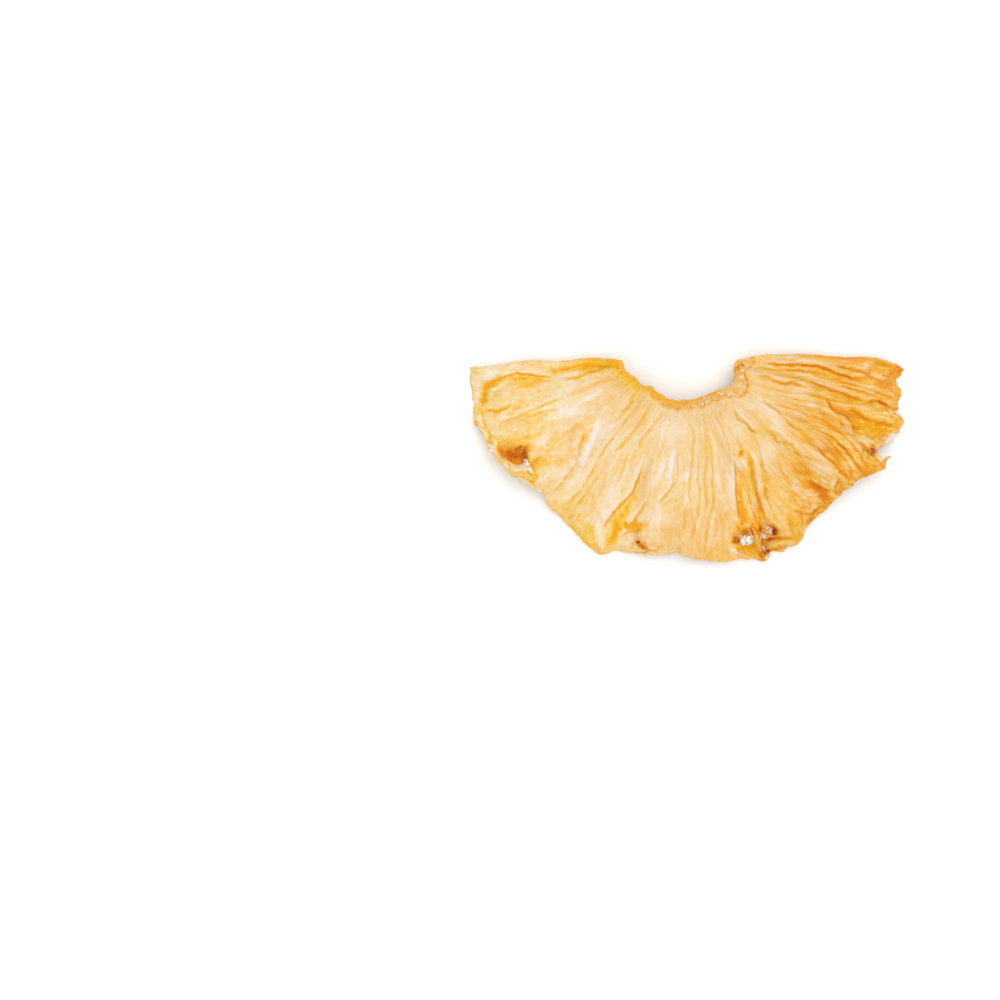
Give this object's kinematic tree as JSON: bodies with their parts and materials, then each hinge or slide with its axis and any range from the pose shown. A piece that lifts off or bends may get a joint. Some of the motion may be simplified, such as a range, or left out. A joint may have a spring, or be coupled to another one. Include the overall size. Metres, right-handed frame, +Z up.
{
  "type": "dried pineapple slice",
  "caption": "Half of a cored ring of dried pineapple: a thin, leathery, wavy slice with fibres that fan out from the core hole to a lobed rim, lying on a table.",
  "frame": {"origin": "on the table, under the middle of the slice's bounding box", "axes": "+Z up from the table, +X along the straight cut, +Y from the rim towards the straight cut and the core hole"},
  "size_m": [0.0918, 0.0436, 0.0069],
  "materials": {
    "dried_flesh": "translucent golden yellow dried fruit flesh, satin, fibrous, amber in the folds and pale on the ridges"
  },
  "bodies": {
    "root": {"dried_pineapple_slice": "dried_flesh"}
  },
  "joints": []
}
